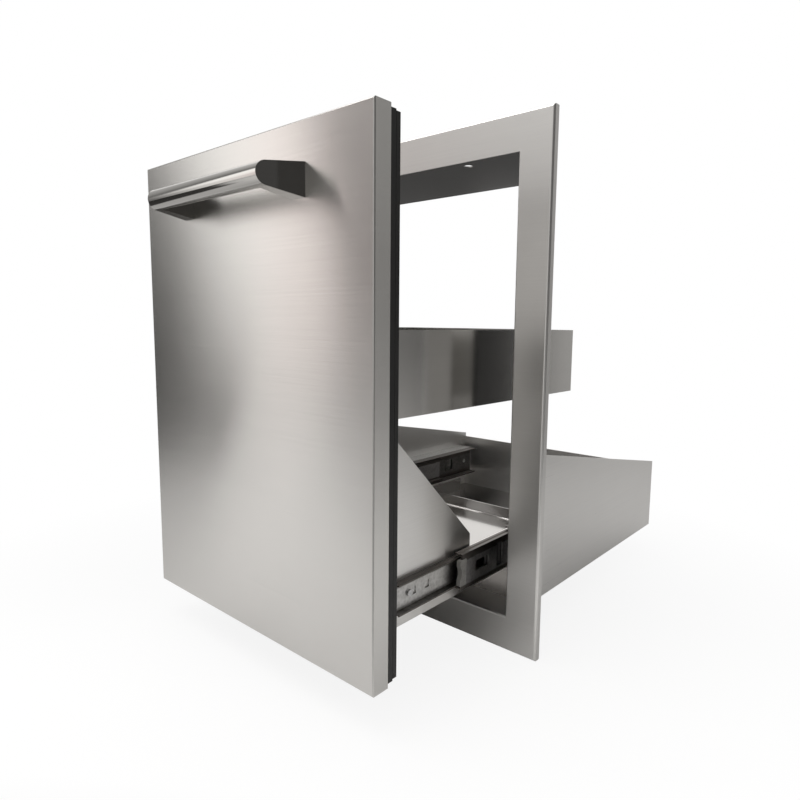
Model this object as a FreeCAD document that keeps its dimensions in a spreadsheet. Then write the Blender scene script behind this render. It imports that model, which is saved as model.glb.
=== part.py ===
import FreeCAD, Part
import math
import os
import re
import Sketcher
from FreeCAD import Rotation, Vector

# Built-in trash drawer for an outdoor kitchen island, in millimetres.
# Origin: centre of the cut-out, in the plane of the island's face.
# X runs to the right seen from the front, Y back into the island, Z up.
# Drawer pieces are drawn with the drawer shut and are then placed pulled out by open_travel.

SIZES = {
    # Cut-out and face frame
    "opening_width": 420.0,
    "opening_height": 560.0,
    "flange_width": 44.0,
    "flange_depth": 10.0,
    "flange_hem": 8.0,
    "frame_sheet": 1.5,
    "frame_edge_radius": 3.0,
    "opening_edge_radius": 2.2,
    "return_depth": 48.0,
    "top_panel_depth": 150.0,
    "top_panel_rear_width": 336.0,
    "top_panel_tab": 30.0,
    "top_panel_upturn": 12.0,
    "mount_hole": 5.5,
    "top_hole": 11.0,
    "top_hole_spacing": 250.0,
    "top_hole_setback": 19.0,
    "side_hole_spacing": 440.0,
    "side_hole_setback": 30.0,
    # Housing behind the frame
    "housing_sheet": 1.5,
    "housing_tail": 24.0,
    "panel_lap": 30.0,
    "side_front_height": 201.0,
    "side_rear_height": 118.0,
    "rear_panel_height": 110.0,
    "housing_flange": 15.0,
    "flange_end_gap": 4.0,
    # Slide mounts
    "mount_sheet": 2.0,
    "mount_overhang": 4.0,
    "mount_lip": 12.0,
    # Telescopic slides, measured outward from the drawer's side
    "open_travel": 231.0,
    "slide_length": 400.0,
    "slide_setback": 56.0,
    "slide_rise": 63.5,
    "slide_thickness": 19.0,
    "slide_height": 53.0,
    "slide_sheet": 2.0,
    "outer_lip_gap": 2.0,
    "middle_height": 45.0,
    "middle_reach": 14.0,
    "middle_lip_gap": 3.0,
    "inner_height": 36.0,
    "inner_lip": 9.0,
    "inner_setback": 8.0,
    "ball_diameter": 4.0,
    "race_clearance": 0.05,
    "outer_race": 8.5,
    "inner_race": 6.0,
    "cage_length": 180.0,
    "cage_sheet": 0.8,
    "cage_hole_clearance": 0.1,
    "outer_cage_web": 14.5,
    "inner_cage_web": 10.1,
    "cage_strip_start": 4.0,
    "ball_pitch": 40.0,
    "slot_length": 29.0,
    "slot_height": 13.5,
    "slot_setback": 29.0,
    "slot_pitch": 120.0,
    "window_gap": 18.5,
    "window_length": 14.0,
    "window_height": 32.0,
    "access_length": 24.0,
    "access_height": 22.0,
    "access_setback": 66.0,
    "hook_setback": 33.0,
    "hook_pitch": 23.5,
    "hook_height": 9.0,
    "hook_slit": 3.0,
    "hook_foot": 4.5,
    "bumper_depth": 12.0,
    "bumper_overhang": 5.0,
    "bumper_height": 32.0,
    "bumper_start": 9.8,
    "bumper_cap": 1.8,
    "bumper_rib": 2.2,
    "bumper_waist": 2.5,
    "bumper_waist_radius": 14.0,
    # Fasteners
    "screw_diameter": 4.0,
    "screw_head": 8.0,
    "screw_head_height": 2.4,
    "screw_clearance": 0.2,
    "screw_tail": 5.5,
    "nut_radius": 4.0,
    "nut_height": 3.2,
    "low_head_height": 1.1,
    "screw_inset": 24.0,
    # Door
    "door_gap": 3.0,
    "door_thickness": 21.0,
    "door_sheet": 1.2,
    "door_lip": 14.0,
    "door_edge_radius": 1.6,
    "liner_inset": 1.5,
    "liner_sheet": 1.2,
    # Gasket
    "gasket_inset": 2.5,
    "gasket_width": 12.0,
    "gasket_rib": 8.2,
    "gasket_lip": 5.4,
    "gasket_neck": 1.4,
    "gasket_neck_inset": 2.0,
    "gasket_step": 1.0,
    # Drawer box
    "drawer_width": 328.0,
    "drawer_tail": 15.2,
    "drawer_sheet": 1.5,
    "tray_drop": 35.0,
    "side_margin": 2.5,
    "gusset_gap": 5.0,
    "gusset_land": 37.5,
    "gusset_step": 16.5,
    "front_flange": 20.0,
    "floor_side_flange": 12.0,
    "floor_rear_height": 20.0,
    "tray_bend": 2.4,
    "ring_top": 76.0,
    "ring_height": 94.0,
    "ring_corner_radius": 3.0,
    # Handle
    "handle_level": 220.0,
    "handle_length": 208.0,
    "handle_standoff": 50.5,
    "bar_diameter": 23.0,
    "bar_wall": 1.5,
    "bracket_thickness": 11.0,
    "bracket_flare": 9.0,
    "bracket_foot": 34.0,
    "spigot_length": 12.0,
    "spigot_clearance": 0.1,
    "handle_screw": 5.0,
    "handle_screw_head": 9.0,
    "handle_screw_head_height": 3.0,
    "handle_screw_grip": 22.0,
    "handle_screw_pitch": 17.0,
}

BALLS_PER_ROW = 5
SIDES = (("left", -1), ("right", 1))
BOTH_SIGNS = (-1, 1)

# Formulas used in several places, with the drawer shut
FLANGE_FRONT = "(-flange_depth)"
FLANGE_BACK = "(frame_sheet - flange_depth)"
RETURN_END = "(return_depth - flange_depth)"
OPENING_HALF = "(opening_width / 2)"
OPENING_TOP = "(opening_height / 2)"
HOUSING_HALF = "(opening_width / 2 + frame_sheet)"
FLOOR_TOP = "(-opening_height / 2 - frame_sheet)"
FLOOR_BOTTOM = "(-opening_height / 2 - frame_sheet - housing_sheet)"
DOOR_BACK = "(door_thickness - flange_depth)"
LINER_BACK = "(door_thickness - flange_depth + liner_sheet)"
DRAWER_REAR = "(slide_setback + slide_length + drawer_tail)"
DRAWER_HALF = "(drawer_width / 2)"
SLIDE_END = "(slide_setback + slide_length)"
SLIDE_LEVEL = "(slide_rise - opening_height / 2)"
HOUSING_REAR = "(slide_setback + slide_length + housing_tail)"
TRAY_BOTTOM = "(slide_rise - opening_height / 2 - tray_drop)"
SIDE_TOP = "(slide_rise - opening_height / 2 + inner_height / 2 + side_margin)"
GUSSET_TOP = "(ring_top - ring_height - gusset_gap)"
CAGE_FRONT = "(slide_setback + slide_length / 2 - cage_length / 2)"
OUTER_BALL_HEIGHT = "(slide_height / 4 - slide_sheet / 2 + middle_height / 4)"
INNER_BALL_HEIGHT = "(middle_height / 4 - slide_sheet / 2 + inner_height / 4)"
BAR_CENTRE = "(bar_diameter / 2 - flange_depth - handle_standoff)"
BAR_HALF = "(handle_length / 2 - bracket_thickness)"
FOOT_MIDDLE = "(handle_length / 2 + bracket_flare / 2 - bracket_thickness / 2)"

# Heights of the screws through the front flanges of the drawer's sides and of the ring
SIDE_SCREW_HEIGHTS = (
    GUSSET_TOP + " - front_flange",
    "(%s + %s) / 2" % (GUSSET_TOP, TRAY_BOTTOM),
    TRAY_BOTTOM + " + front_flange",
)
RING_SCREW_HEIGHTS = ("ring_top - front_flange", "ring_top - ring_height + front_flange")

# Share of the drawer's travel that each group of pieces makes
DRAWER_SHARE = 1.0
MIDDLE_SHARE = 0.5
OUTER_CAGE_SHARE = 0.25
INNER_CAGE_SHARE = 0.75

WORD = re.compile(r"[a-z][a-z_]+")
# Plane role and the sign of its normal along the model's axis
PLANES = {"front": ("XZ_Plane", -1), "side": ("YZ_Plane", 1), "top": ("XY_Plane", 1)}

doc = FreeCAD.newDocument("trash_drawer")
sheet = doc.addObject("Spreadsheet::Sheet", "Sizes")
nodes = []


def fill_sheet():
    for row, (alias, value) in enumerate(SIZES.items(), start=1):
        sheet.set("A%d" % row, alias.replace("_", " "))
        sheet.set("B%d" % row, str(value))
        sheet.setAlias("B%d" % row, alias)
    doc.recompute()


def formula(text):
    """Turn plain size names into references to the sheet."""
    return WORD.sub(lambda found: "Sizes." + found.group() if found.group() in SIZES else found.group(), text)


def finish(item, share=0.0):
    """Keep an object as a sub-part and pull it out by its share of the drawer's travel."""
    if share:
        item.setExpression("Placement.Base.y", formula("-%s * open_travel" % share))
    nodes.append(item)
    return item


# Sketched pieces


def new_body(label):
    body = doc.addObject("PartDesign::Body", label)
    body.Label = label
    return body


def new_sketch(body, plane, position):
    role, sign = PLANES[plane]
    support = [feature for feature in body.Origin.OriginFeatures if feature.Role == role][0]
    sketch = body.newObject("Sketcher::SketchObject", body.Label + "_sketch")
    sketch.AttachmentSupport = [(support, "")]
    sketch.MapMode = "FlatFace"
    sketch.setExpression("AttachmentOffset.Base.z", formula("%d * (%s)" % (sign, position)))
    return sketch


def bind_point(sketch, geometry, corner, start, across, up):
    for kind, value, text in (("DistanceX", start.x, across), ("DistanceY", start.y, up)):
        number = sketch.addConstraint(Sketcher.Constraint(kind, -1, 1, geometry, corner, value))
        sketch.setExpression("Constraints[%d]" % number, formula(text))


def add_polygon(sketch, points):
    first = sketch.GeometryCount
    count = len(points)
    turns = [2 * math.pi * index / count for index in range(count)]
    rough = [Vector(100 * math.cos(turn), 100 * math.sin(turn), 0) for turn in turns]
    for index in range(count):
        sketch.addGeometry(Part.LineSegment(rough[index], rough[(index + 1) % count]), False)
    for index in range(count):
        following = first + (index + 1) % count
        sketch.addConstraint(Sketcher.Constraint("Coincident", first + index, 2, following, 1))
    for index, (across, up) in enumerate(points):
        bind_point(sketch, first + index, 1, rough[index], across, up)


def add_rectangle(sketch, left, right, bottom, top):
    add_polygon(sketch, [(left, bottom), (right, bottom), (right, top), (left, top)])


def add_window(sketch, half_width, half_height):
    """Rectangle centred on the origin."""
    add_rectangle(sketch, "-" + half_width, half_width, "-" + half_height, half_height)


def add_circle(sketch, across, up, diameter):
    centre = Vector(50, 50, 0)
    number = sketch.addGeometry(Part.Circle(centre, Vector(0, 0, 1), 5), False)
    bind_point(sketch, number, 3, centre, across, up)
    size = sketch.addConstraint(Sketcher.Constraint("Diameter", number, 10.0))
    sketch.setExpression("Constraints[%d]" % size, formula(diameter))


def pad(body, sketch, plane, length):
    """Extrude toward the positive axis."""
    feature = body.newObject("PartDesign::Pad", body.Label + "_pad")
    feature.Profile = sketch
    feature.setExpression("Length", formula(length))
    feature.Reversed = PLANES[plane][1] < 0
    sketch.Visibility = False
    return feature


def pocket(body, sketch, plane, length):
    """Cut toward the positive axis and make sure that something was cut."""
    doc.recompute()
    before = body.Shape.Volume
    feature = body.newObject("PartDesign::Pocket", body.Label + "_pocket")
    feature.Profile = sketch
    feature.setExpression("Length", formula(length))
    feature.Reversed = PLANES[plane][1] > 0
    sketch.Visibility = False
    doc.recompute()
    if body.Shape.Volume >= before:
        raise RuntimeError(body.Label + ": pocket cut nothing")
    return feature


def pad_rectangle(body, plane, position, spans, length):
    sketch = new_sketch(body, plane, position)
    add_rectangle(sketch, *spans)
    return pad(body, sketch, plane, length)


def pad_frame(body, position, outer, inner, length):
    """Rectangular ring seen from the front."""
    sketch = new_sketch(body, "front", position)
    add_window(sketch, *outer)
    add_window(sketch, *inner)
    return pad(body, sketch, "front", length)


def frame_middles(half_width, half_height, depth):
    """Middles of the right, left, lower and upper edge of a rectangle seen from the front."""
    return [Vector(half_width, depth, 0), Vector(-half_width, depth, 0),
            Vector(0, depth, -half_height), Vector(0, depth, half_height)]


def round_edges(body, radius, middles):
    """Fillet the straight edges whose middles are the given points."""
    doc.recompute()
    base = body.Tip
    names = []
    for number, edge in enumerate(base.Shape.Edges, start=1):
        if any((edge.CenterOfMass - middle).Length < 0.01 for middle in middles):
            names.append("Edge%d" % number)
    if len(names) != len(middles):
        raise RuntimeError(body.Label + ": not every edge to round was found")
    feature = body.newObject("PartDesign::Fillet", body.Label + "_fillet")
    feature.Base = (base, names)
    feature.setExpression("Radius", formula(radius))
    return feature


# Pieces made of boxes, cylinders and spheres


def box(across, along, up):
    """Box from three (low, high) pairs of formulas."""
    item = doc.addObject("Part::Box", "box")
    for axis, size, (low, high) in zip("xyz", ("Length", "Width", "Height"), (across, along, up)):
        item.setExpression(size, formula("(%s) - (%s)" % (high, low)))
        item.setExpression("Placement.Base." + axis, formula(low))
    return item


def rod(radius, length, start, direction):
    """Cylinder from a start point, given as three formulas, along a fixed direction."""
    item = doc.addObject("Part::Cylinder", "rod")
    item.setExpression("Radius", formula(radius))
    item.setExpression("Height", formula(length))
    item.Placement.Rotation = Rotation(Vector(0, 0, 1), direction)
    for axis, text in zip("xyz", start):
        item.setExpression("Placement.Base." + axis, formula(text))
    return item


def ball(centre):
    item = doc.addObject("Part::Sphere", "ball")
    item.setExpression("Radius", formula("ball_diameter / 2"))
    for axis, text in zip("xyz", centre):
        item.setExpression("Placement.Base." + axis, formula(text))
    return item


def nut(seat, direction):
    """Hexagon nut on a screw, from its seat along a fixed direction."""
    hexagon = doc.addObject("Part::Prism", "hexagon")
    hexagon.Polygon = 6
    hexagon.setExpression("Circumradius", formula("nut_radius"))
    hexagon.setExpression("Height", formula("nut_height"))
    hexagon.Placement.Rotation = Rotation(Vector(0, 0, 1), direction)
    for axis, text in zip("xyz", seat):
        hexagon.setExpression("Placement.Base." + axis, formula(text))
    bore = rod("screw_diameter / 2 + screw_clearance", "nut_height", seat, direction)
    return cut("nut", hexagon, [bore])


def fuse(label, items):
    joined = doc.addObject("Part::MultiFuse", label)
    joined.Label = label
    joined.Shapes = items
    joined.Refine = True
    return joined


def cut(label, base, tools):
    result = doc.addObject("Part::Cut", label)
    result.Label = label
    result.Base = base
    result.Tool = tools[0] if len(tools) == 1 else fuse(label + "_tools", tools)
    return result


def group(label, items):
    gathered = doc.addObject("Part::Compound", label)
    gathered.Label = label
    gathered.Links = items
    return gathered


def side_span(sign, near, far):
    """X span on one side, from two distances outward from the drawer's side."""
    if sign > 0:
        return "drawer_width / 2 + %s" % near, "drawer_width / 2 + %s" % far
    return "-drawer_width / 2 - (%s)" % far, "-drawer_width / 2 - (%s)" % near


def side_point(sign, distance):
    return "%d * (drawer_width / 2 + %s)" % (sign, distance)


def level(offset):
    """Height measured from the middle of the slides."""
    return "%s + %s" % (offset, SLIDE_LEVEL)


# Face frame and housing


def add_arch(sketch, outer, inner, bottom):
    """Outline open at the top: two upright limbs up to the top of the opening and a lower limb."""
    add_polygon(sketch, [
        ("-" + outer, bottom), (outer, bottom), (outer, OPENING_TOP), (inner, OPENING_TOP),
        (inner, "-" + OPENING_TOP), ("-" + inner, "-" + OPENING_TOP),
        ("-" + inner, OPENING_TOP), ("-" + outer, OPENING_TOP)])


def make_face_frame():
    body = new_body("face_frame")
    outer = ("(opening_width / 2 + flange_width)", "(opening_height / 2 + flange_width)")
    inside_lip = tuple("(%s - frame_sheet)" % half for half in outer)
    inside_hem = tuple("(%s - flange_hem)" % half for half in outer)
    front = -SIZES["flange_depth"]
    half, tall = SIZES["opening_width"] / 2, SIZES["opening_height"] / 2
    reach, metal = SIZES["flange_width"], SIZES["frame_sheet"]

    limbs = new_sketch(body, "front", FLANGE_FRONT)
    add_arch(limbs, outer[0], OPENING_HALF, "-" + outer[1])
    pad(body, limbs, "front", "frame_sheet")
    returns = new_sketch(body, "front", FLANGE_FRONT)
    add_arch(returns, HOUSING_HALF, OPENING_HALF, FLOOR_TOP)
    pad(body, returns, "front", "return_depth")
    round_edges(body, "opening_edge_radius", frame_middles(half, tall, front)[:3])

    upper_limb = ("-" + outer[0], outer[0], OPENING_TOP, outer[1])
    pad_rectangle(body, "front", FLANGE_FRONT, upper_limb, "frame_sheet")
    pad_frame(body, FLANGE_FRONT, outer, inside_lip, "flange_depth")
    pad_frame(body, "-frame_sheet", outer, inside_hem, "frame_sheet")
    holes = new_sketch(body, "side", "-opening_width")
    for step in (-1, 1):
        height = "%d * side_hole_spacing / 2" % step
        add_circle(holes, "side_hole_setback - flange_depth", height, "mount_hole")
    pocket(body, holes, "side", "2 * opening_width")
    round_edges(body, "frame_edge_radius", frame_middles(half + reach, tall + reach, front))
    round_edges(body, "frame_edge_radius - frame_sheet",
                frame_middles(half + reach - metal, tall + reach - metal, front + metal))
    finish(body)


def make_top_panel():
    """Sheet over the opening, as wide as the opening at the frame and narrower toward the rear."""
    body = new_body("top_panel")
    rear = "(top_panel_depth - flange_depth)"
    rear_half = "(top_panel_rear_width / 2)"
    sheet_outline = new_sketch(body, "top", OPENING_TOP)
    right_edge = [(HOUSING_HALF, FLANGE_BACK), (HOUSING_HALF, RETURN_END), (rear_half, rear)]
    left_edge = [("-" + across, along) for across, along in reversed(right_edge)]
    add_polygon(sheet_outline, right_edge + left_edge)
    pad(body, sheet_outline, "top", "housing_sheet")
    tab_top = "opening_height / 2 + top_panel_tab"
    pad_rectangle(body, "front", FLANGE_BACK, ("-" + OPENING_HALF, OPENING_HALF, OPENING_TOP, tab_top),
                  "housing_sheet")
    upturn_top = "opening_height / 2 + top_panel_upturn"
    pad_rectangle(body, "front", rear + " - housing_sheet",
                  ("-" + rear_half, rear_half, OPENING_TOP, upturn_top), "housing_sheet")
    holes = new_sketch(body, "top", "opening_height / 2 - housing_sheet")
    for sign in (-1, 1):
        add_circle(holes, "%d * top_hole_spacing / 2" % sign, "top_hole_setback - flange_depth", "top_hole")
    pocket(body, holes, "top", "3 * housing_sheet")
    finish(body)


def make_side_panel(name, sign):
    body = new_body("side_panel_" + name)
    inner_face = HOUSING_HALF if sign > 0 else "(-opening_width / 2 - frame_sheet - housing_sheet)"
    lap_start = RETURN_END + " - panel_lap"
    end = HOUSING_REAR + " + housing_sheet"
    front_top = FLOOR_TOP + " + side_front_height"
    sketch = new_sketch(body, "side", inner_face)
    add_polygon(sketch, [
        (lap_start, FLOOR_BOTTOM), (end, FLOOR_BOTTOM), (end, FLOOR_TOP + " + side_rear_height"),
        (RETURN_END, front_top), (lap_start, front_top)])
    add_circle(sketch, "side_hole_setback - flange_depth", "-side_hole_spacing / 2", "mount_hole")
    pad(body, sketch, "side", "housing_sheet")
    finish(body)


def make_floor_panel():
    body = new_body("floor_panel")
    spans = ("-" + HOUSING_HALF, HOUSING_HALF, RETURN_END + " - panel_lap", HOUSING_REAR + " + housing_sheet")
    pad_rectangle(body, "top", FLOOR_BOTTOM, spans, "housing_sheet")
    start = RETURN_END + " + flange_end_gap"
    end = HOUSING_REAR + " - housing_flange - flange_end_gap"
    for left, right in (("-" + HOUSING_HALF, "-" + OPENING_HALF), (OPENING_HALF, HOUSING_HALF)):
        pad_rectangle(body, "top", FLOOR_TOP, (left, right, start, end), "housing_flange")
    finish(body)


def make_rear_panel():
    body = new_body("rear_panel")
    top = FLOOR_TOP + " + rear_panel_height"
    pad_rectangle(body, "front", HOUSING_REAR, ("-" + HOUSING_HALF, HOUSING_HALF, FLOOR_TOP, top),
                  "housing_sheet")
    bottom = FLOOR_TOP + " + housing_flange"
    for left, right in (("-" + HOUSING_HALF, "-" + OPENING_HALF), (OPENING_HALF, HOUSING_HALF)):
        pad_rectangle(body, "front", HOUSING_REAR + " - housing_flange",
                      (left, right, bottom, top + " - flange_end_gap"), "housing_flange")
    finish(body)


def make_slide_mount(name, sign):
    label = "slide_mount_" + name
    along = ("slide_setback - mount_overhang", SLIDE_END + " + mount_overhang")
    wall = "(opening_width / 2 + frame_sheet - drawer_width / 2)"
    web = side_span(sign, "slide_thickness", "slide_thickness + mount_sheet")
    whole = side_span(sign, "slide_thickness", wall)
    lip = side_span(sign, wall + " - mount_sheet", wall)
    pieces = [box(web, along, (level("-slide_height / 2"), level("slide_height / 2")))]
    for low, high in (("-slide_height / 2", "mount_sheet - slide_height / 2"),
                      ("slide_height / 2 - mount_sheet", "slide_height / 2")):
        pieces.append(box(whole, along, (level(low), level(high))))
    for low, high in (("-slide_height / 2", "mount_lip - slide_height / 2"),
                      ("slide_height / 2 - mount_lip", "slide_height / 2")):
        pieces.append(box(lip, along, (level(low), level(high))))
    holes = screw_holes(sign, "slide_thickness - slide_sheet", "3 * slide_sheet")
    holes += access_windows(sign, "slide_thickness - slide_sheet", "slide_thickness + 2 * mount_sheet")
    finish(cut(label, fuse(label + "_channel", pieces), holes))


# Telescopic slides


def screw_places():
    """Distance back from the seat plane of the screws along a slide."""
    return ["slide_setback + inner_setback + screw_inset", "slide_setback + slide_length / 2",
            SLIDE_END + " - screw_inset"]


def screw_holes(sign, start, length):
    radius = "screw_diameter / 2 + screw_clearance"
    outward = Vector(sign, 0, 0)
    return [rod(radius, length, (side_point(sign, start), place, SLIDE_LEVEL), outward)
            for place in screw_places()]


def access_windows(sign, near, far):
    """Windows through the fixed webs near both ends of a slide."""
    tall = (level("-access_height / 2"), level("access_height / 2"))
    starts = ("slide_setback + access_setback", SLIDE_END + " - access_setback - access_length")
    return [box(side_span(sign, near, far), (start, start + " + access_length"), tall) for start in starts]


def slide_screw(sign, seat, place, head_height, inward):
    """Pan-head screw with its head on the seat, pointing inward or outward."""
    direction = Vector(-sign if inward else sign, 0, 0)
    start = (side_point(sign, seat), place, SLIDE_LEVEL)
    length = "slide_sheet + screw_tail"
    shank = rod("screw_diameter / 2", length, start, direction)
    head = rod("screw_head / 2", head_height, start, direction.negative())
    return fuse("screw", [shank, head])


def make_slide_fasteners():
    inner_screws, inner_nuts, outer_screws, outer_nuts = [], [], [], []
    for sign in BOTH_SIGNS:
        for place in screw_places():
            inner_screws.append(slide_screw(sign, "slide_sheet", place, "screw_head_height", True))
            inner_seat = (side_point(sign, "-drawer_sheet"), place, SLIDE_LEVEL)
            inner_nuts.append(nut(inner_seat, Vector(-sign, 0, 0)))
            outer_screws.append(
                slide_screw(sign, "slide_thickness - slide_sheet", place, "low_head_height", False))
            outer_seat = (side_point(sign, "slide_thickness + mount_sheet"), place, SLIDE_LEVEL)
            outer_nuts.append(nut(outer_seat, Vector(sign, 0, 0)))
    finish(group("slide_inner_screws", inner_screws), DRAWER_SHARE)
    finish(group("slide_inner_nuts", inner_nuts), DRAWER_SHARE)
    finish(group("slide_outer_screws", outer_screws))
    finish(group("slide_outer_nuts", outer_nuts))


def channel(label, sign, web, lips, height, along):
    """Web with a lip at the top and bottom, all the length of the slide."""
    top = "%s / 2" % height
    pieces = [box(side_span(sign, *web), along, (level("-" + top), level(top)))]
    for low, high in (("-" + top, "slide_sheet - " + top), (top + " - slide_sheet", top)):
        pieces.append(box(side_span(sign, *lips), along, (level(low), level(high))))
    return fuse(label + "_channel", pieces)


def races(sign, place, height):
    """Grooves that the balls run in, above and below."""
    radius = "ball_diameter / 2 + race_clearance"
    length = "slide_length + 2 * slide_setback"
    starts = [(side_point(sign, place), "0", level("%d * %s" % (step, height))) for step in (-1, 1)]
    return [rod(radius, length, start, Vector(0, 1, 0)) for start in starts]


def make_outer_member(name, sign):
    label = "slide_outer_" + name
    base = channel(label, sign, ("slide_thickness - slide_sheet", "slide_thickness"),
                   ("outer_lip_gap", "slide_thickness"), "slide_height", ("slide_setback", SLIDE_END))
    tools = races(sign, "outer_race", OUTER_BALL_HEIGHT)
    tools += screw_holes(sign, "slide_thickness - 2 * slide_sheet", "3 * slide_sheet")
    tools += access_windows(sign, "slide_thickness - 2 * slide_sheet", "slide_thickness + slide_sheet")
    finish(cut(label, base, tools))


def make_middle_member(name, sign):
    label = "slide_middle_" + name
    base = channel(label, sign, ("middle_reach - slide_sheet", "middle_reach"),
                   ("middle_lip_gap", "middle_reach"), "middle_height", ("slide_setback", SLIDE_END))
    tools = races(sign, "outer_race", OUTER_BALL_HEIGHT) + races(sign, "inner_race", INNER_BALL_HEIGHT)
    web = side_span(sign, "middle_reach - 2 * slide_sheet", "middle_reach + slide_sheet")
    low = (level("-slot_height / 2"), level("slot_height / 2"))
    tall = (level("-window_height / 2"), level("window_height / 2"))
    pairs = int((SIZES["slide_length"] - SIZES["slot_setback"]) // SIZES["slot_pitch"])
    for index in range(pairs):
        start = "slide_setback + slot_setback + %d * slot_pitch" % index
        window = start + " + slot_length + window_gap"
        tools.append(box(web, (start, start + " + slot_length"), low))
        tools.append(box(web, (window, window + " + window_length"), tall))
    finish(cut(label, base, tools), MIDDLE_SHARE)


def make_inner_member(name, sign):
    label = "slide_inner_" + name
    front = "slide_setback + inner_setback"
    base = channel(label, sign, ("0", "slide_sheet"), ("0", "inner_lip"), "inner_height", (front, SLIDE_END))
    tools = races(sign, "inner_race", INNER_BALL_HEIGHT)
    tools += screw_holes(sign, "-slide_sheet", "3 * slide_sheet")
    web = side_span(sign, "-slide_sheet", "2 * slide_sheet")
    tall = (level("-hook_height / 2"), level("hook_height / 2"))
    foot = (level("-hook_height / 2"), level("hook_slit - hook_height / 2"))
    for place in ("hook_setback", "hook_setback + hook_pitch", "slide_length / 2 + hook_setback"):
        slit = "%s + %s" % (front, place)
        tools.append(box(web, (slit, slit + " + hook_slit"), tall))
        tools.append(box(web, (slit + " - hook_foot", slit + " + hook_slit"), foot))
    finish(cut(label, base, tools), DRAWER_SHARE)


def make_bumper(name, sign):
    """Soft stop clipped over the front end of the middle member's web."""
    label = "slide_bumper_" + name
    tall = (level("-bumper_height / 2"), level("bumper_height / 2"))
    front = "slide_setback - bumper_overhang"
    inside = side_span(sign, "bumper_start", "middle_reach - slide_sheet")
    over = side_span(sign, "bumper_start", "middle_reach + bumper_cap")
    outside = side_span(sign, "middle_reach", "middle_reach + bumper_cap")
    along = (front, front + " + bumper_depth")
    pieces = [box(inside, along, tall), box(outside, along, tall), box(over, (front, "slide_setback"), tall)]
    for place in (front, front + " + bumper_depth - bumper_rib"):
        foot = (side_point(sign, "middle_reach + bumper_cap - bumper_rib / 2"), place + " + bumper_rib / 2",
                level("-bumper_height / 2"))
        pieces.append(rod("bumper_rib / 2 + bumper_cap / 4", "bumper_height", foot, Vector(0, 0, 1)))
    web = side_span(sign, "middle_reach - slide_sheet", "middle_reach")
    tools = [box(web, ("slide_setback", SLIDE_END), tall)]
    for place in (front + " + bumper_waist - bumper_waist_radius",
                  front + " + bumper_depth - bumper_waist + bumper_waist_radius"):
        tools.append(rod("bumper_waist_radius", "middle_reach + 2 * bumper_cap",
                         (side_point(sign, "0"), place, SLIDE_LEVEL), Vector(sign, 0, 0)))
    finish(cut(label, fuse(label + "_block", pieces), tools), MIDDLE_SHARE)


def make_cage(kind, name, sign, web, race, height, share):
    """Strip that spaces the balls, bent round the member inside it, and its balls."""
    label = "%s_cage_%s" % (kind, name)
    along = (CAGE_FRONT, CAGE_FRONT + " + cage_length")
    reach = "%s + cage_sheet" % web
    pieces = [box(side_span(sign, web, reach), along,
                  (level("-%s - cage_sheet / 2" % height), level("%s + cage_sheet / 2" % height)))]
    for step in (-1, 1):
        middle = "%d * %s" % (step, height)
        pieces.append(box(side_span(sign, "cage_strip_start", reach), along,
                          (level(middle + " - cage_sheet / 2"), level(middle + " + cage_sheet / 2"))))
    holes, balls = [], []
    for index in range(BALLS_PER_ROW):
        place = "%s + cage_length / 2 + %d * ball_pitch" % (CAGE_FRONT, index - BALLS_PER_ROW // 2)
        across = side_point(sign, race)
        holes.append(rod("ball_diameter / 2 + cage_hole_clearance", "slide_height",
                         (across, place, level("-slide_height / 2")), Vector(0, 0, 1)))
        for step in (-1, 1):
            balls.append(ball((across, place, level("%d * %s" % (step, height)))))
    finish(cut(label, fuse(label + "_strip", pieces), holes), share)
    finish(group("%s_balls_%s" % (kind, name), balls), share)


# Door and handle


def make_door_skin():
    body = new_body("door_skin")
    outer = ("(opening_width / 2 - door_gap)", "(opening_height / 2 - door_gap)")
    inside = tuple("(%s - door_sheet)" % half for half in outer)
    inside_lip = tuple("(%s - door_lip)" % half for half in outer)
    edges = ("-" + outer[0], outer[0], "-" + outer[1], outer[1])
    pad_rectangle(body, "front", FLANGE_FRONT, edges, "door_sheet")
    pad_frame(body, FLANGE_FRONT, outer, inside, "door_thickness")
    pad_frame(body, DOOR_BACK + " - door_sheet", outer, inside_lip, "door_sheet")
    holes = new_sketch(body, "front", FLANGE_FRONT + " - door_sheet")
    for across, up in handle_screw_places(BOTH_SIGNS):
        add_circle(holes, across, up, "handle_screw + 2 * screw_clearance")
    pocket(body, holes, "front", "3 * door_sheet")

    half = SIZES["opening_width"] / 2 - SIZES["door_gap"]
    tall = SIZES["opening_height"] / 2 - SIZES["door_gap"]
    round_edges(body, "door_edge_radius", frame_middles(half, tall, -SIZES["flange_depth"]))
    finish(body, DRAWER_SHARE)


def make_door_liner():
    body = new_body("door_liner")
    half = "(opening_width / 2 - door_gap - liner_inset)"
    tall = "(opening_height / 2 - door_gap - liner_inset)"
    sketch = new_sketch(body, "front", DOOR_BACK)
    add_window(sketch, half, tall)
    for across, up in flange_screw_places(BOTH_SIGNS, SIDE_SCREW_HEIGHTS + RING_SCREW_HEIGHTS):
        add_circle(sketch, across, up, "screw_diameter + 2 * screw_clearance")
    pad(body, sketch, "front", "liner_sheet")
    finish(body, DRAWER_SHARE)


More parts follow.
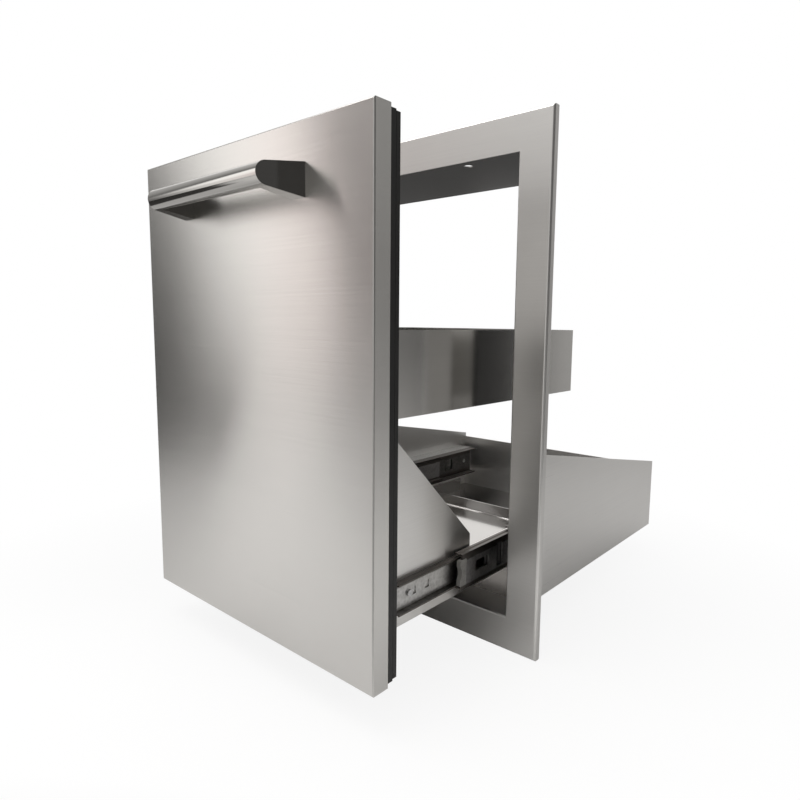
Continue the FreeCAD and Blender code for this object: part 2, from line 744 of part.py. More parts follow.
def make_door_gasket():
    """Soft seal with two ribs round the back of the door."""
    body = new_body("door_gasket")
    edge = ("(opening_width / 2 - door_gap - gasket_inset - %s)",
            "(opening_height / 2 - door_gap - gasket_inset - %s)")
    start = LINER_BACK
    steps = (("0", "gasket_width", "gasket_rib"),
             ("gasket_neck_inset", "gasket_width - gasket_neck_inset", "gasket_neck"),
             ("gasket_step", "gasket_width - gasket_step", "gasket_lip"))
    for near, far, depth in steps:
        outer = tuple(half % near for half in edge)
        inner = tuple(half % ("(%s)" % far) for half in edge)
        pad_frame(body, start, outer, inner, depth)
        start = start + " + " + depth
    finish(body, DRAWER_SHARE)


def handle_screw_places(signs):
    return [("%d * %s" % (sign, FOOT_MIDDLE), "handle_level + %d * handle_screw_pitch / 2" % step)
            for sign in signs for step in (-1, 1)]


def make_handle_bar():
    body = new_body("handle_bar")
    sketch = new_sketch(body, "side", "-" + BAR_HALF)
    for diameter in ("bar_diameter", "bar_diameter - 2 * bar_wall"):
        add_circle(sketch, BAR_CENTRE, "handle_level", diameter)
    pad(body, sketch, "side", "2 * " + BAR_HALF)
    finish(body, DRAWER_SHARE)


def add_nose_profile(sketch):
    """Round nose of the bracket with straight sides that widen to the foot on the door."""
    radius = SIZES["bar_diameter"] / 2
    nose = Vector(radius - SIZES["flange_depth"] - SIZES["handle_standoff"], SIZES["handle_level"], 0)
    foot = Vector(-SIZES["flange_depth"], SIZES["bracket_foot"] / 2, 0)
    above, below = nose + Vector(0, radius, 0), nose - Vector(0, radius, 0)
    foot_top = Vector(foot.x, nose.y + foot.y, 0)
    foot_bottom = Vector(foot.x, nose.y - foot.y, 0)
    arc = Part.ArcOfCircle(Part.Circle(nose, Vector(0, 0, 1), radius), math.pi / 2, 3 * math.pi / 2)
    sketch.addGeometry([arc, Part.LineSegment(below, foot_bottom), Part.LineSegment(foot_bottom, foot_top),
                        Part.LineSegment(foot_top, above)], False)
    sketch.addConstraint([
        Sketcher.Constraint("Tangent", 0, 2, 1, 1), Sketcher.Constraint("Coincident", 1, 2, 2, 1),
        Sketcher.Constraint("Coincident", 2, 2, 3, 1), Sketcher.Constraint("Tangent", 3, 2, 0, 1)])
    bind_point(sketch, 0, 3, nose, BAR_CENTRE, "handle_level")
    bind_point(sketch, 2, 1, foot_bottom, FLANGE_FRONT, "handle_level - bracket_foot / 2")
    bind_point(sketch, 2, 2, foot_top, FLANGE_FRONT, "handle_level + bracket_foot / 2")
    size = sketch.addConstraint(Sketcher.Constraint("Radius", 0, radius))
    sketch.setExpression("Constraints[%d]" % size, formula("bar_diameter / 2"))


def make_handle_bracket(name, sign):
    body = new_body("handle_bracket_" + name)
    thickness = "bracket_thickness + bracket_flare"
    outer = "(handle_length / 2 + bracket_flare)"
    sketch = new_sketch(body, "side", BAR_HALF if sign > 0 else "-" + outer)
    add_nose_profile(sketch)
    pad(body, sketch, "side", thickness)

    spigot = new_sketch(body, "side", "%s - spigot_length" % BAR_HALF if sign > 0 else "-" + BAR_HALF)
    add_circle(spigot, BAR_CENTRE, "handle_level", "bar_diameter - 2 * bar_wall - 2 * spigot_clearance")
    pad(body, spigot, "side", "spigot_length")

    flare = new_sketch(body, "top", "handle_level - bracket_foot")
    tip = "%d * handle_length / 2" % sign
    beyond = "%d * (%s + bracket_flare)" % (sign, outer)
    clear_front = FLANGE_FRONT + " - 2 * handle_standoff"
    add_polygon(flare, [(tip, FLANGE_FRONT + " - handle_standoff"),
                        ("%d * %s" % (sign, outer), FLANGE_FRONT),
                        (beyond, FLANGE_FRONT),
                        (beyond, clear_front),
                        (tip, clear_front)])
    pocket(body, flare, "top", "2 * bracket_foot")

    holes = new_sketch(body, "front", FLANGE_FRONT + " - handle_screw_grip - screw_clearance")
    for across, up in handle_screw_places((sign,)):
        add_circle(holes, across, up, "handle_screw + 2 * screw_clearance")
    pocket(body, holes, "front", "handle_screw_grip + 2 * screw_clearance")
    finish(body, DRAWER_SHARE)


def make_handle_screws():
    screws = []
    for across, up in handle_screw_places(BOTH_SIGNS):
        seat = (across, FLANGE_FRONT + " + door_sheet", up)
        forward = Vector(0, -1, 0)
        shank = rod("handle_screw / 2", "handle_screw_grip + door_sheet", seat, forward)
        head = rod("handle_screw_head / 2", "handle_screw_head_height", seat, forward.negative())
        screws.append(fuse("handle_screw", [shank, head]))
    finish(group("handle_screws", screws), DRAWER_SHARE)


# Drawer box and bin ring


def flange_screw_places(signs, heights):
    """Screws through the front flanges of the drawer's sides and of the ring into the door."""
    across = "%d * (drawer_width / 2 - front_flange / 2)"
    return [(across % sign, height) for sign in signs for height in heights]


def make_drawer_fasteners():
    screws, nuts = [], []
    forward = Vector(0, -1, 0)
    for across, up in flange_screw_places(BOTH_SIGNS, SIDE_SCREW_HEIGHTS + RING_SCREW_HEIGHTS):
        seat = (across, LINER_BACK + " + drawer_sheet", up)
        shank = rod("screw_diameter / 2", "drawer_sheet + liner_sheet + screw_tail", seat, forward)
        head = rod("screw_head / 2", "screw_head_height", seat, forward.negative())
        screws.append(fuse("drawer_screw", [shank, head]))
        nuts.append(nut((across, DOOR_BACK, up), forward))
    finish(group("drawer_screws", screws), DRAWER_SHARE)
    finish(group("drawer_nuts", nuts), DRAWER_SHARE)


def cut_flange_holes(body, signs, heights):
    """Screw holes through the front flanges."""
    holes = new_sketch(body, "front", DOOR_BACK)
    for across, up in flange_screw_places(signs, heights):
        add_circle(holes, across, up, "screw_diameter + 2 * screw_clearance")
    pocket(body, holes, "front", "liner_sheet + 2 * drawer_sheet")


def make_drawer_side(name, sign):
    body = new_body("drawer_side_" + name)
    inner_face = "(drawer_width / 2 - drawer_sheet)" if sign > 0 else "(-drawer_width / 2)"
    shoulder = "(%s + gusset_step)" % SIDE_TOP
    land_end = LINER_BACK + " + gusset_land"
    slope_end = "%s + %s - %s" % (land_end, GUSSET_TOP, shoulder)
    sketch = new_sketch(body, "side", inner_face)
    add_polygon(sketch, [
        (LINER_BACK, TRAY_BOTTOM), (DRAWER_REAR, TRAY_BOTTOM), (DRAWER_REAR, SIDE_TOP),
        (slope_end, SIDE_TOP), (slope_end, shoulder),
        (land_end, GUSSET_TOP), (LINER_BACK, GUSSET_TOP)])
    for place in screw_places():
        add_circle(sketch, place, SLIDE_LEVEL, "screw_diameter + 2 * screw_clearance")
    pad(body, sketch, "side", "drawer_sheet")
    edges = ("(drawer_width / 2 - front_flange)", DRAWER_HALF)
    left, right = edges if sign > 0 else ("-" + edges[1], "-" + edges[0])
    flange = (left, right, TRAY_BOTTOM, GUSSET_TOP)
    pad_rectangle(body, "front", LINER_BACK, flange, "drawer_sheet")
    cut_flange_holes(body, (sign,), SIDE_SCREW_HEIGHTS)
    finish(body, DRAWER_SHARE)


def make_drawer_floor():
    body = new_body("drawer_floor")
    half = "(drawer_width / 2 - drawer_sheet)"
    front = LINER_BACK + " + drawer_sheet"
    pad_rectangle(body, "top", TRAY_BOTTOM, ("-" + half, half, front, DRAWER_REAR), "drawer_sheet")
    top = TRAY_BOTTOM + " + floor_rear_height"
    pad_rectangle(body, "front", DRAWER_REAR + " - drawer_sheet", ("-" + half, half, TRAY_BOTTOM, top),
                  "drawer_sheet")
    flange_half = "(drawer_width / 2 - front_flange)"
    pad_rectangle(body, "front", front, ("-" + flange_half, flange_half, TRAY_BOTTOM, top), "drawer_sheet")
    inside = "(drawer_width / 2 - 2 * drawer_sheet)"
    for left, right in (("-" + half, "-" + inside), (inside, half)):
        edges = (left, right, front + " + front_flange", DRAWER_REAR + " - flange_end_gap")
        pad_rectangle(body, "top", TRAY_BOTTOM, edges, "floor_side_flange")

    rear = SIZES["slide_setback"] + SIZES["slide_length"] + SIZES["drawer_tail"]
    bottom = SIZES["slide_rise"] - SIZES["opening_height"] / 2 - SIZES["tray_drop"]
    metal = SIZES["drawer_sheet"]
    round_edges(body, "tray_bend", [Vector(0, rear - metal, bottom + metal)])
    round_edges(body, "tray_bend + drawer_sheet", [Vector(0, rear, bottom)])
    finish(body, DRAWER_SHARE)


def make_bin_ring():
    """Band behind the door that holds the bin upright."""
    body = new_body("bin_ring")
    inside = "(drawer_width / 2 - drawer_sheet)"
    rear_inside = DRAWER_REAR + " - drawer_sheet"
    flange = "(drawer_width / 2 - front_flange)"
    flange_back = LINER_BACK + " + drawer_sheet"
    sketch = new_sketch(body, "top", "ring_top - ring_height")
    right_half = [(flange, LINER_BACK), (DRAWER_HALF, LINER_BACK), (DRAWER_HALF, DRAWER_REAR)]
    left_half = [("-" + across, along) for across, along in reversed(right_half)]
    right_inner = [(inside, rear_inside), (inside, flange_back), (flange, flange_back)]
    left_inner = [("-" + across, along) for across, along in reversed(right_inner)]
    add_polygon(sketch, right_half + left_half + left_inner + right_inner)
    pad(body, sketch, "top", "ring_height")
    cut_flange_holes(body, BOTH_SIGNS, RING_SCREW_HEIGHTS)

    rear = SIZES["slide_setback"] + SIZES["slide_length"] + SIZES["drawer_tail"]
    middle = SIZES["ring_top"] - SIZES["ring_height"] / 2
    corners = [Vector(sign * SIZES["drawer_width"] / 2, rear, middle) for sign in BOTH_SIGNS]
    round_edges(body, "ring_corner_radius", corners)
    finish(body, DRAWER_SHARE)


def check_and_export():
    doc.recompute()
    for item in doc.Objects:
        if "Invalid" in item.State or "Error" in item.State:
            raise RuntimeError(item.Label + " could not be computed: " + str(item.State))
    os.makedirs("parts", exist_ok=True)
    for item in nodes:
        if item.Shape.isNull() or not item.Shape.isValid():
            raise RuntimeError(item.Label + " has no valid shape")
        item.Shape.exportStep("parts/%s.step" % item.Label)


fill_sheet()
make_face_frame()
make_top_panel()
make_floor_panel()
make_rear_panel()
make_door_skin()
make_door_liner()
make_door_gasket()
make_handle_bar()
make_handle_screws()
make_drawer_floor()
make_bin_ring()
make_drawer_fasteners()
make_slide_fasteners()
for side_name, side_sign in SIDES:
    make_side_panel(side_name, side_sign)
    make_slide_mount(side_name, side_sign)
    make_outer_member(side_name, side_sign)
    make_middle_member(side_name, side_sign)
    make_inner_member(side_name, side_sign)
    make_bumper(side_name, side_sign)
    make_cage("outer", side_name, side_sign, "outer_cage_web", "outer_race",
              OUTER_BALL_HEIGHT, OUTER_CAGE_SHARE)
    make_cage("inner", side_name, side_sign, "inner_cage_web", "inner_race",
              INNER_BALL_HEIGHT, INNER_CAGE_SHARE)
    make_handle_bracket(side_name, side_sign)
    make_drawer_side(side_name, side_sign)
check_and_export()
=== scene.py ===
import math

import bpy
from mathutils import Matrix, Vector


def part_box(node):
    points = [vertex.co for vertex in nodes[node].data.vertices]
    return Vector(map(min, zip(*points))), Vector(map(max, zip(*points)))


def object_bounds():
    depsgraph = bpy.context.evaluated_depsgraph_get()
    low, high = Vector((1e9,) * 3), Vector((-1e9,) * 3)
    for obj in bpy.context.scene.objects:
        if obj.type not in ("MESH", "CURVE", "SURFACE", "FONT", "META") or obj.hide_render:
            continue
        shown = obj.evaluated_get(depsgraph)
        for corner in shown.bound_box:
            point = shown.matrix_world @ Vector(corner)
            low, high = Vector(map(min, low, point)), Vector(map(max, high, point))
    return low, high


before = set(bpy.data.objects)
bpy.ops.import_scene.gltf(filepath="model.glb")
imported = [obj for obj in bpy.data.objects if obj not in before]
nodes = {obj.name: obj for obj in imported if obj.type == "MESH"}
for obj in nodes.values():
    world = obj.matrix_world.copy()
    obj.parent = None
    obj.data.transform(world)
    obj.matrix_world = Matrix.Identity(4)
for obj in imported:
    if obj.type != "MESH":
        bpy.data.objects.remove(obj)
cad_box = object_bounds()


# Shader nodes

class Graph:
    """A node tree with short calls for the nodes that the materials share."""

    def __init__(self, tree):
        self.tree = tree
        tree.nodes.clear()

    def add(self, kind, **values):
        node = self.tree.nodes.new(kind)
        for name, value in values.items():
            setattr(node, name, value)
        return node

    def link(self, source, target):
        self.tree.links.new(source, target)

    def feed(self, node, *values):
        """Gives each of a node's first inputs a socket or a constant."""
        for socket, value in zip(node.inputs, values):
            if isinstance(value, bpy.types.NodeSocket):
                self.link(value, socket)
            else:
                socket.default_value = value

    def math(self, operation, *values):
        node = self.add("ShaderNodeMath", operation=operation)
        self.feed(node, *values)
        return node.outputs["Value"]

    def vector(self, operation, *values):
        node = self.add("ShaderNodeVectorMath", operation=operation)
        self.feed(node, *values)
        return node.outputs["Vector"]

    def length(self, place):
        node = self.add("ShaderNodeVectorMath", operation="LENGTH")
        self.link(place, node.inputs["Vector"])
        return node.outputs["Value"]

    def axes(self, place):
        """The X, Y and Z of a place or a direction."""
        node = self.add("ShaderNodeSeparateXYZ")
        self.link(place, node.inputs["Vector"])
        return node.outputs

    def weigh(self, *shares):
        """Adds values up, each times its own share."""
        parts = [self.math("MULTIPLY", value, share) for value, share in shares]
        total = parts[0]
        for part in parts[1:]:
            total = self.math("ADD", total, part)
        return total

    def noise(self, place, scale, detail=3.0, rough=0.6):
        node = self.add("ShaderNodeTexNoise")
        self.link(place, node.inputs["Vector"])
        node.inputs["Scale"].default_value = scale
        node.inputs["Detail"].default_value = detail
        node.inputs["Roughness"].default_value = rough
        return node.outputs["Fac"]

    def spread(self, value, low, high, start=0.0, end=1.0):
        """Maps start..end to low..high."""
        node = self.add("ShaderNodeMapRange")
        self.link(value, node.inputs["Value"])
        node.inputs["From Min"].default_value = start
        node.inputs["From Max"].default_value = end
        node.inputs["To Min"].default_value = low
        node.inputs["To Max"].default_value = high
        return node.outputs["Result"]

    def share(self, value, start, end):
        """0 up to start, 1 from end on."""
        return self.spread(value, 0.0, 1.0, start, end)

    def blend(self, first, second, share):
        node = self.add("ShaderNodeMixRGB")
        self.feed(node, share, first, second)
        return node.outputs["Color"]

    def ramp(self, value, stops):
        node = self.add("ShaderNodeValToRGB")
        elements = node.color_ramp.elements
        while len(elements) < len(stops):
            elements.new(0.5)
        for element, (position, colour) in zip(elements, stops):
            element.position = position
            element.color = (*colour, 1.0)
        self.link(value, node.inputs["Fac"])
        return node.outputs["Color"]

    def grey_ramp(self, value, stops):
        return self.ramp(value, [(position, (grey, grey, grey)) for position, grey in stops])

    def bump(self, height, strength, depth):
        node = self.add("ShaderNodeBump")
        node.inputs["Strength"].default_value = strength
        node.inputs["Distance"].default_value = depth
        self.link(height, node.inputs["Height"])
        return node.outputs["Normal"]

    def for_camera(self, share, usual, seen):
        """A shader that camera rays see as another one, by that share."""
        camera_ray = self.add("ShaderNodeLightPath").outputs["Is Camera Ray"]
        node = self.add("ShaderNodeMixShader")
        self.feed(node, self.math("MULTIPLY", camera_ray, share), usual, seen)
        return node.outputs["Shader"]


def new_material(name):
    material = bpy.data.materials.new(name)
    material.use_nodes = True
    graph = Graph(material.node_tree)
    shader = graph.add("ShaderNodeBsdfPrincipled")
    output = graph.add("ShaderNodeOutputMaterial")
    graph.link(shader.outputs["BSDF"], output.inputs["Surface"])
    return material, graph, shader


# Brushed steel
# Repeats per metre, for streaks and bands along the grain
STREAK_ALONG = 5.0
BAND_ALONG = 2.0
SMUDGE_SCALE = 7.0
# Across the grain a band is as broad as this many streaks
STREAKS_PER_BAND = 9
STREAK_DEPTH = 0.0002
# The grain lies a little off X, so that faces square to X have one too
GRAIN = (1.0, 0.01, 0.0)


def brushed(name, dark, light, roughness, anisotropy, level=False, streak=2600.0, relief=0.06):
    """Fine streaks along a level grain that spread reflections across it, on upright or level sheets."""
    material, graph, shader = new_material(name)
    place = graph.add("ShaderNodeTexCoord").outputs["Object"]
    band = streak / STREAKS_PER_BAND
    if level:
        streak_scale = (STREAK_ALONG, streak, streak)
        band_scale = (BAND_ALONG, band, band)
    else:
        streak_scale = (STREAK_ALONG, STREAK_ALONG, streak)
        band_scale = (BAND_ALONG, BAND_ALONG, band)
    streaks = graph.noise(graph.vector("MULTIPLY", place, streak_scale), 1.0)
    bands = graph.noise(graph.vector("MULTIPLY", place, band_scale), 1.0, detail=2.0, rough=0.5)
    smudges = graph.noise(place, SMUDGE_SCALE)
    mixed = graph.weigh((streaks, 0.6), (bands, 0.1), (smudges, 0.3))
    graph.link(graph.ramp(mixed, ((0.3, dark), (0.7, light))), shader.inputs["Base Color"])
    graph.link(graph.spread(mixed, *roughness), shader.inputs["Roughness"])
    shader.inputs["Metallic"].default_value = 1.0
    shader.inputs["Anisotropic"].default_value = anisotropy
    normal = graph.add("ShaderNodeNewGeometry").outputs["Normal"]
    graph.link(graph.vector("CROSS_PRODUCT", normal, GRAIN), shader.inputs["Tangent"])
    graph.link(graph.bump(streaks, relief, STREAK_DEPTH), shader.inputs["Normal"])
    return material


# Plated steel
CRYSTAL_SCALE = 260.0
WEAR_SCALE = 60.0
WEAR_RELIEF = 0.05
WEAR_DEPTH = 0.0003
# Grease, with painted shade on the rails' lips, leaves an unshaded strip along the slides, whose middle lies
# a little below the middle of the slides
GREASE_AND_SHADE = (0.11, 0.1, 0.092, 1.0)
GREASE_AND_SHADE_WAVER = 0.0015
UNSHADED_DROP = 0.002
slide_low, slide_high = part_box("slide_outer_right")
unshaded_level = (slide_low.z + slide_high.z) / 2 - UNSHADED_DROP


def plated(name, dark, light, roughness=(0.24, 0.42), unshaded=None):
    """Plated steel with a faint crystal mottle.

    Grease, with painted shade on the lips, sets in between the two distances from the middle strip's level
    that the last argument gives.
    """
    material, graph, shader = new_material(name)
    place = graph.add("ShaderNodeTexCoord").outputs["Object"]
    crystals = graph.add("ShaderNodeTexVoronoi")
    crystals.inputs["Scale"].default_value = CRYSTAL_SCALE
    graph.link(place, crystals.inputs["Vector"])
    wear = graph.noise(place, WEAR_SCALE, detail=4.0)
    mottle = graph.weigh((crystals.outputs["Distance"], 0.5), (wear, 0.6))
    colour = graph.ramp(mottle, ((0.25, dark), (0.75, light)))
    # Grease and painted shade: darker away from the middle strip of the rails
    if unshaded:
        height = graph.axes(graph.add("ShaderNodeNewGeometry").outputs["Position"])["Z"]
        away = graph.math("ABSOLUTE", graph.math("SUBTRACT", height, unshaded_level))
        uneven = graph.math("ADD", away, graph.spread(wear, -GREASE_AND_SHADE_WAVER, GREASE_AND_SHADE_WAVER))
        colour = graph.blend(colour, GREASE_AND_SHADE, graph.share(uneven, *unshaded))
    graph.link(colour, shader.inputs["Base Color"])
    graph.link(graph.spread(wear, *roughness), shader.inputs["Roughness"])
    shader.inputs["Metallic"].default_value = 1.0
    graph.link(graph.bump(wear, WEAR_RELIEF, WEAR_DEPTH), shader.inputs["Normal"])
    return material


# Moulded rubber and plastic
POCK_SCALE = 420.0
POCK_RELIEF = 0.15
POCK_DEPTH = 0.0003
DUST_SCALE = 24.0


def moulded(name, dark, light, roughness):
    """Rubber or plastic with a finely pocked surface and some dust."""
    material, graph, shader = new_material(name)
    place = graph.add("ShaderNodeTexCoord").outputs["Object"]
    pocks = graph.noise(place, POCK_SCALE)
    dust = graph.noise(place, DUST_SCALE)
    mixed = graph.weigh((pocks, 0.5), (dust, 0.5))
    graph.link(graph.ramp(mixed, ((0.3, dark), (0.75, light))), shader.inputs["Base Color"])
    graph.link(graph.spread(dust, *roughness), shader.inputs["Roughness"])
    graph.link(graph.bump(pocks, POCK_RELIEF, POCK_DEPTH), shader.inputs["Normal"])
    return material


# Materials of the pieces
door_steel = brushed("brushed_steel", (0.54, 0.53, 0.515), (0.62, 0.61, 0.59),
                     roughness=(0.18, 0.25), anisotropy=1.0)
level_steel = brushed("brushed_steel_level", (0.47, 0.46, 0.45), (0.55, 0.54, 0.53),
                      roughness=(0.08, 0.13), anisotropy=0.6, level=True)
# A lighter copy of the brushed steel, which paints light on the housing's side and rear panels and the
# drawer sides
painted_light_steel = brushed("brushed_painted_light", (0.74, 0.73, 0.715), (0.82, 0.81, 0.79),
                     roughness=(0.24, 0.34), anisotropy=0.5)
frame_steel = brushed("brushed_frame", (0.66, 0.65, 0.635), (0.74, 0.73, 0.71),
                      roughness=(0.27, 0.37), anisotropy=0.4, relief=0.02)
ring_steel = brushed("brushed_ring", (0.54, 0.53, 0.515), (0.62, 0.61, 0.59),
                     roughness=(0.13, 0.18), anisotropy=0.3)
liner_steel = brushed("brushed_liner", (0.7, 0.69, 0.68), (0.8, 0.79, 0.78),
                      roughness=(0.28, 0.4), anisotropy=0.82)
bar_steel = brushed("brushed_bar", (0.44, 0.43, 0.415), (0.52, 0.51, 0.49),
                    roughness=(0.05, 0.09), anisotropy=0.3, streak=1600.0)
zinc = plated("zinc_plate", (0.42, 0.42, 0.41), (0.62, 0.62, 0.61))
inner_rail = plated("inner_rail", (0.42, 0.415, 0.405), (0.6, 0.595, 0.585), unshaded=(0.012, 0.0145))
# Darker copies of the same plating, which paint shade on the middle and outer rails and the ball cages
# inside the housing
middle_rail_shaded = plated("middle_rail_shaded", (0.27, 0.265, 0.27), (0.4, 0.395, 0.4), unshaded=(0.0145, 0.0165))
outer_rail_shaded = plated("outer_rail_shaded", (0.1, 0.098, 0.096), (0.17, 0.165, 0.16), unshaded=(0.014, 0.018))
cage_steel_shaded = plated("cage_strip", (0.08, 0.077, 0.074), (0.14, 0.135, 0.13))
screw_steel = plated("screw_steel", (0.45, 0.45, 0.45), (0.66, 0.66, 0.66), roughness=(0.18, 0.32))
ball_steel = plated("ball_steel", (0.6, 0.6, 0.61), (0.75, 0.75, 0.76), roughness=(0.08, 0.16))
rubber = moulded("seal_rubber", (0.006, 0.006, 0.006), (0.018, 0.018, 0.017), roughness=(0.4, 0.6))
bumper = moulded("bumper_plastic", (0.15, 0.147, 0.138), (0.3, 0.29, 0.275), roughness=(0.35, 0.5))


def dress(material, *names):
    for name in names:
        slots = nodes[name].data.materials
        slots.clear()
        slots.append(material)


dress(door_steel, "door_skin")
dress(liner_steel, "door_liner")
dress(rubber, "door_gasket")
dress(bar_steel, "handle_bar", "handle_bracket_left", "handle_bracket_right")
dress(frame_steel, "face_frame")
dress(ring_steel, "bin_ring")
dress(level_steel, "top_panel", "floor_panel", "drawer_floor")
dress(painted_light_steel, "rear_panel")
dress(screw_steel, "handle_screws", "drawer_screws", "drawer_nuts", "slide_inner_screws", "slide_inner_nuts",
      "slide_outer_screws", "slide_outer_nuts")
for side in ("left", "right"):
    dress(painted_light_steel, "side_panel_" + side, "drawer_side_" + side)
    dress(zinc, "slide_mount_" + side)
    dress(outer_rail_shaded, "slide_outer_" + side)
    dress(middle_rail_shaded, "slide_middle_" + side)
    dress(inner_rail, "slide_inner_" + side)
    dress(cage_steel_shaded, "outer_cage_" + side, "inner_cage_" + side)
    dress(ball_steel, "outer_balls_" + side, "inner_balls_" + side)
    dress(bumper, "slide_bumper_" + side)


# Camera that took the photograph, in metres and radians
CAMERA_PLACE = Vector((0.5912, -0.6284, 0.0826))
CAMERA_YAW = 0.7009
CAMERA_PITCH = 0.1184
CAMERA_ROLL = 0.0125
NEAR_CLIP = 0.01
# Its picture in pixels, and its sensor in millimetres
IMAGE_SIDE = 800
FOCAL_PIXELS = 603.2
IMAGE_CENTRE = (421.97, 395.66)
SENSOR = 36.0


def make_camera():
    forward = Vector((-math.sin(CAMERA_YAW) * math.cos(CAMERA_PITCH),
                      math.cos(CAMERA_YAW) * math.cos(CAMERA_PITCH), -math.sin(CAMERA_PITCH)))
    right = Vector((math.cos(CAMERA_YAW), math.sin(CAMERA_YAW), 0.0))
    up = right.cross(forward)
    turned_right = math.cos(CAMERA_ROLL) * right + math.sin(CAMERA_ROLL) * up
    turned_up = math.cos(CAMERA_ROLL) * up - math.sin(CAMERA_ROLL) * right
    data = bpy.data.cameras.new("camera")
    data.sensor_width = SENSOR
    data.lens = SENSOR * FOCAL_PIXELS / IMAGE_SIDE
    data.shift_x = (IMAGE_SIDE / 2 - IMAGE_CENTRE[0]) / IMAGE_SIDE
    data.shift_y = (IMAGE_CENTRE[1] - IMAGE_SIDE / 2) / IMAGE_SIDE
    data.clip_start = NEAR_CLIP
    camera = bpy.data.objects.new("camera", data)
    axes = Matrix((turned_right, turned_up, -forward)).transposed()
    camera.matrix_world = Matrix.Translation(CAMERA_PLACE) @ axes.to_4x4()
    bpy.context.scene.collection.objects.link(camera)
    bpy.context.scene.camera = camera


# Studio round the part, as three rings of light with stops of turn and strength
# A turn of 0 looks along -X, 0.25 along -Y, 0.5 along +X and 0.75 along +Y
LOW_LIGHT = (
    # Left, and the foot of the screen to the front left
    (0.0, 0.1), (0.074, 0.15), (0.079, 0.28), (0.085, 0.52), (0.092, 0.75), (0.1, 0.92), (0.112, 0.87),
    (0.116, 0.7), (0.121, 0.5),
    # Front and right
    (0.17, 0.4), (0.25, 0.45), (0.34, 0.45), (0.35, 0.25), (0.4, 0.25), (0.45, 0.5), (0.51, 0.5),
    (0.525, 0.12), (0.6, 0.1),
    # Rear right with a dark gap, and rear
    (0.61, 0.5), (0.639, 0.5), (0.643, 0.0), (0.665, 0.0), (0.671, 0.5), (0.7, 0.5), (0.8, 0.06), (1.0, 0.1))
LEVEL_LIGHT = (
    # Left, and the middle of the screen
    (0.0, 0.12), (0.074, 0.12), (0.079, 0.32), (0.085, 0.8), (0.091, 1.2), (0.1, 1.38), (0.104, 1.15),
    (0.113, 1.2), (0.117, 0.7), (0.121, 0.35),
    # Front with a bright stretch, and a dim right
    (0.127, 0.4), (0.17, 0.4), (0.25, 0.6), (0.3, 1.05), (0.343, 1.05), (0.35, 0.12), (0.4, 0.1),
    (0.58, 0.1), (0.6, 0.03),
    # Rear right with the dark gap, and a bright stretch at the rear
    (0.61, 0.23), (0.639, 0.23), (0.643, 0.0), (0.665, 0.0), (0.671, 0.5), (0.7, 0.6), (0.79, 0.8),
    (0.82, 1.3), (0.842, 1.3), (0.85, 0.3), (0.88, 0.15), (1.0, 0.12))
HIGH_LIGHT = (
    # Left, and the brightest part of the screen between dark edges
    (0.0, 0.55), (0.05, 0.45), (0.068, 0.25), (0.073, 0.22), (0.077, 0.9), (0.081, 1.75), (0.1, 1.9),
    (0.104, 1.55), (0.107, 1.65), (0.109, 1.4), (0.112, 0.4), (0.117, 0.1),
    # Front, and a dim right
    (0.124, 0.3), (0.128, 0.2), (0.132, 0.4), (0.138, 0.74), (0.16, 0.62), (0.25, 0.6), (0.28, 0.5),
    (0.3, 0.08), (0.36, 0.08), (0.45, 0.09), (0.6, 0.09),
    # Rear right, and a bright rear
    (0.615, 0.4), (0.65, 0.4), (0.66, 0.15), (0.675, 0.5), (0.7, 0.6), (0.8, 1.2), (0.92, 1.2), (1.0, 0.55))
CEILING = (1.02, 1.02, 1.02, 1.0)
# A direction's rise, its Z, from where one light passes into the next to where it has done so
LOW_TO_LEVEL = (-0.2, -0.04)
LEVEL_TO_HIGH = (0.03, 0.24)
HIGH_TO_CEILING = (0.5, 0.9)
# Warm light by turn, rosier in the right half of the screen
WARM = (1.0, 0.985, 0.965)
ROSY = (1.0, 0.905, 0.88)
CAST = ((0.092, WARM), (0.104, ROSY), (0.13, ROSY), (0.15, WARM))
# What the camera sees behind the part
BACKDROP = (1.0, 1.0, 1.0, 1.0)


def make_world():
    """Light from all round: a tall bright screen to the front left, darker walls, a bright ceiling."""
    world = bpy.data.worlds.new("studio")
    bpy.context.scene.world = world
    world.use_nodes = True
    graph = Graph(world.node_tree)
    direction = graph.axes(graph.add("ShaderNodeTexCoord").outputs["Generated"])
    angle = graph.math("ARCTAN2", direction["Y"], direction["X"])
    turn = graph.math("ADD", graph.math("DIVIDE", angle, 2 * math.pi), 0.5)
    rise = direction["Z"]
    low, level, high = [graph.grey_ramp(turn, stops) for stops in (LOW_LIGHT, LEVEL_LIGHT, HIGH_LIGHT)]
    studio = graph.blend(low, level, graph.share(rise, *LOW_TO_LEVEL))
    studio = graph.blend(studio, high, graph.share(rise, *LEVEL_TO_HIGH))
    studio = graph.blend(studio, CEILING, graph.share(rise, *HIGH_TO_CEILING))
    light = graph.add("ShaderNodeBackground")
    graph.link(graph.vector("MULTIPLY", studio, graph.ramp(turn, CAST)), light.inputs["Color"])
    backdrop = graph.add("ShaderNodeBackground")
    backdrop.inputs["Color"].default_value = BACKDROP
    surface = graph.for_camera(1.0, light.outputs["Background"], backdrop.outputs["Background"])
    output = graph.add("ShaderNodeOutputWorld")
    graph.link(surface, output.inputs["Surface"])


# Floor, a hair under the part
FLOOR_GAP = 0.0005
FLOOR_CORNERS = ((-6.0, -2.6), (0.9, -2.6), (0.9, 1.1), (-6.0, 1.1))
# A place on it is leftward by this slant times its Y, less its X
FLOOR_SLANT = 1.4
# Painted light and shade, from the first leftward value to the second: grey far in front, palest in front,
# grey to the left
FLOOR_SPAN = (-1.0, 0.2)
FLOOR_PAINTED_LIGHT = ((0.0, 0.4), (0.1, 0.45), (0.22, 0.6), (0.28, 0.88), (0.45, 0.88), (0.6, 0.78), (0.78, 0.58),
                (0.92, 0.5))
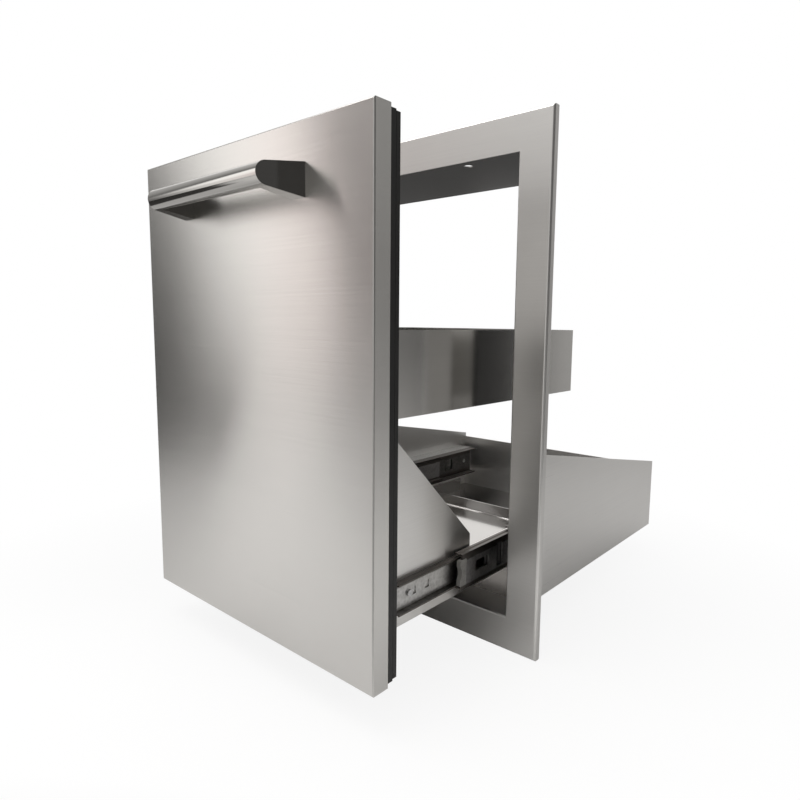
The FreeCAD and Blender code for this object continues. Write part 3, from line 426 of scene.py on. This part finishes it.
# Painted shade: it is dim where it is both more leftward than FLOOR_LEFT and further than FLOOR_REACH from
# the origin
FLOOR_PAINTED_SHADE = (0.05, 0.049, 0.048, 1.0)
FLOOR_LEFT = -0.15
FLOOR_REACH = 1.36
FLOOR_EDGE = 0.04
# Share of white that the camera sees in it, which rises between two distances from the origin
FLOOR_WHITE = (0.88, 1.0)
FLOOR_FADE = (0.4, 0.85)


def floor_painted_light():
    """Pale paint with painted light and shade in several levels, nearly white to the camera, with the part's
    shadow on it.
    """
    material = bpy.data.materials.new("painted_light_floor")
    material.use_nodes = True
    graph = Graph(material.node_tree)
    place = graph.add("ShaderNodeTexCoord").outputs["Object"]
    across = graph.axes(place)
    distance = graph.length(place)
    # Painted light and shade on the floor, which the metal mirrors
    leftward = graph.math("SUBTRACT", graph.math("MULTIPLY", across["Y"], FLOOR_SLANT), across["X"])
    painted_floor_levels = graph.grey_ramp(graph.share(leftward, *FLOOR_SPAN), FLOOR_PAINTED_LIGHT)
    beyond = graph.math("MINIMUM", graph.math("SUBTRACT", leftward, FLOOR_LEFT),
                        graph.math("SUBTRACT", distance, FLOOR_REACH))
    painted_floor_light = graph.blend(painted_floor_levels, FLOOR_PAINTED_SHADE, graph.share(beyond, -FLOOR_EDGE, FLOOR_EDGE))
    paint = graph.add("ShaderNodeBsdfDiffuse")
    graph.link(painted_floor_light, paint.inputs["Color"])
    white = graph.add("ShaderNodeEmission")
    seen_white = graph.spread(distance, *FLOOR_WHITE, *FLOOR_FADE)
    surface = graph.for_camera(seen_white, paint.outputs["BSDF"], white.outputs["Emission"])
    output = graph.add("ShaderNodeOutputMaterial")
    graph.link(surface, output.inputs["Surface"])
    return material


def make_floor():
    floor_level = cad_box[0].z - FLOOR_GAP
    mesh = bpy.data.meshes.new("floor")
    mesh.from_pydata([(x, y, floor_level) for x, y in FLOOR_CORNERS], [], [(0, 1, 2, 3)])
    mesh.materials.append(floor_painted_light())
    floor = bpy.data.objects.new("floor", mesh)
    bpy.context.scene.collection.objects.link(floor)


# Lamp above the front left, aimed at the origin
LAMP_PLACE = Vector((-0.6, -0.8, 2.4))
LAMP_SIDE = 2.0
LAMP_POWER = 45.0


def make_lamp():
    data = bpy.data.lights.new("overhead", "AREA")
    data.shape = "SQUARE"
    data.size = LAMP_SIDE
    data.energy = LAMP_POWER
    lamp = bpy.data.objects.new("overhead", data)
    lamp.location = LAMP_PLACE
    lamp.rotation_euler = (-LAMP_PLACE).to_track_quat("-Z", "Y").to_euler()
    bpy.context.scene.collection.objects.link(lamp)


make_camera()
make_world()
make_floor()
make_lamp()
bpy.context.scene.view_settings.view_transform = "Standard"
